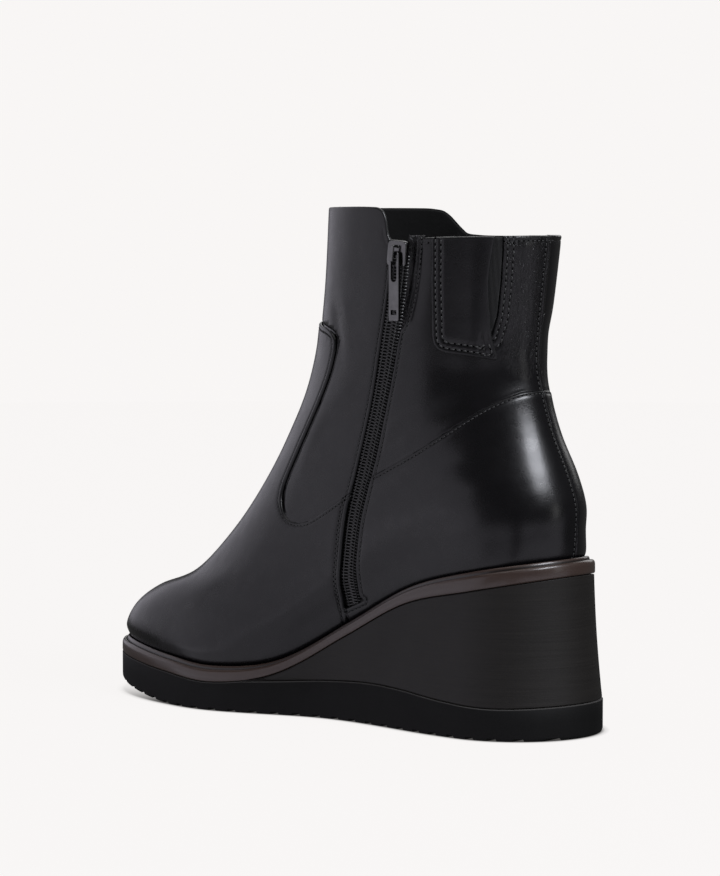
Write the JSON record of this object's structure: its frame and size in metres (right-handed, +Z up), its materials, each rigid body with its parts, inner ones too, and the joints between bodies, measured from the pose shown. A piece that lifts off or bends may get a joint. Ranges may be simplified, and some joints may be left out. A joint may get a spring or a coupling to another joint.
{
  "type": "ankle boot",
  "caption": "Leather ankle boot for a right foot on a high wedge, with a raised front collar, a side zip, a gore under a flap and a welted sole.",
  "frame": {"origin": "on the floor plane under the middle of the boot's box", "axes": "+X from the toe to the heel, +Y to the outer side of the foot, +Z up"},
  "size_m": [0.252, 0.0953, 0.2172],
  "materials": {
    "outsole_rubber": "matte black rubber",
    "wedge": "satin, faintly streaked",
    "welt": "smooth dark brown edge",
    "lining": "dark woven lining",
    "leather": "smooth polished black leather",
    "elastic": "ribbed black elastic",
    "zip": "black woven tape with a black coil",
    "hardware": "gloss black painted metal"
  },
  "bodies": {
    "boot": {"outsole": "outsole_rubber", "wedge": "wedge", "welt": "welt", "insole": "lining", "upper": "leather", "gore_elastic": "elastic", "gore_flap": "leather", "zip_tape": "zip", "zip_slider": "hardware"},
    "pull": {"pull_tab": "hardware"}
  },
  "joints": [
    {"name": "pull_hinge", "type": "hinge", "parent": "boot", "child": "pull", "pos_m": [0.05714, -0.04213, 0.19794], "axis": [-0.9925, -0.1219, 0], "range_deg": [0, 160]}
  ]
}
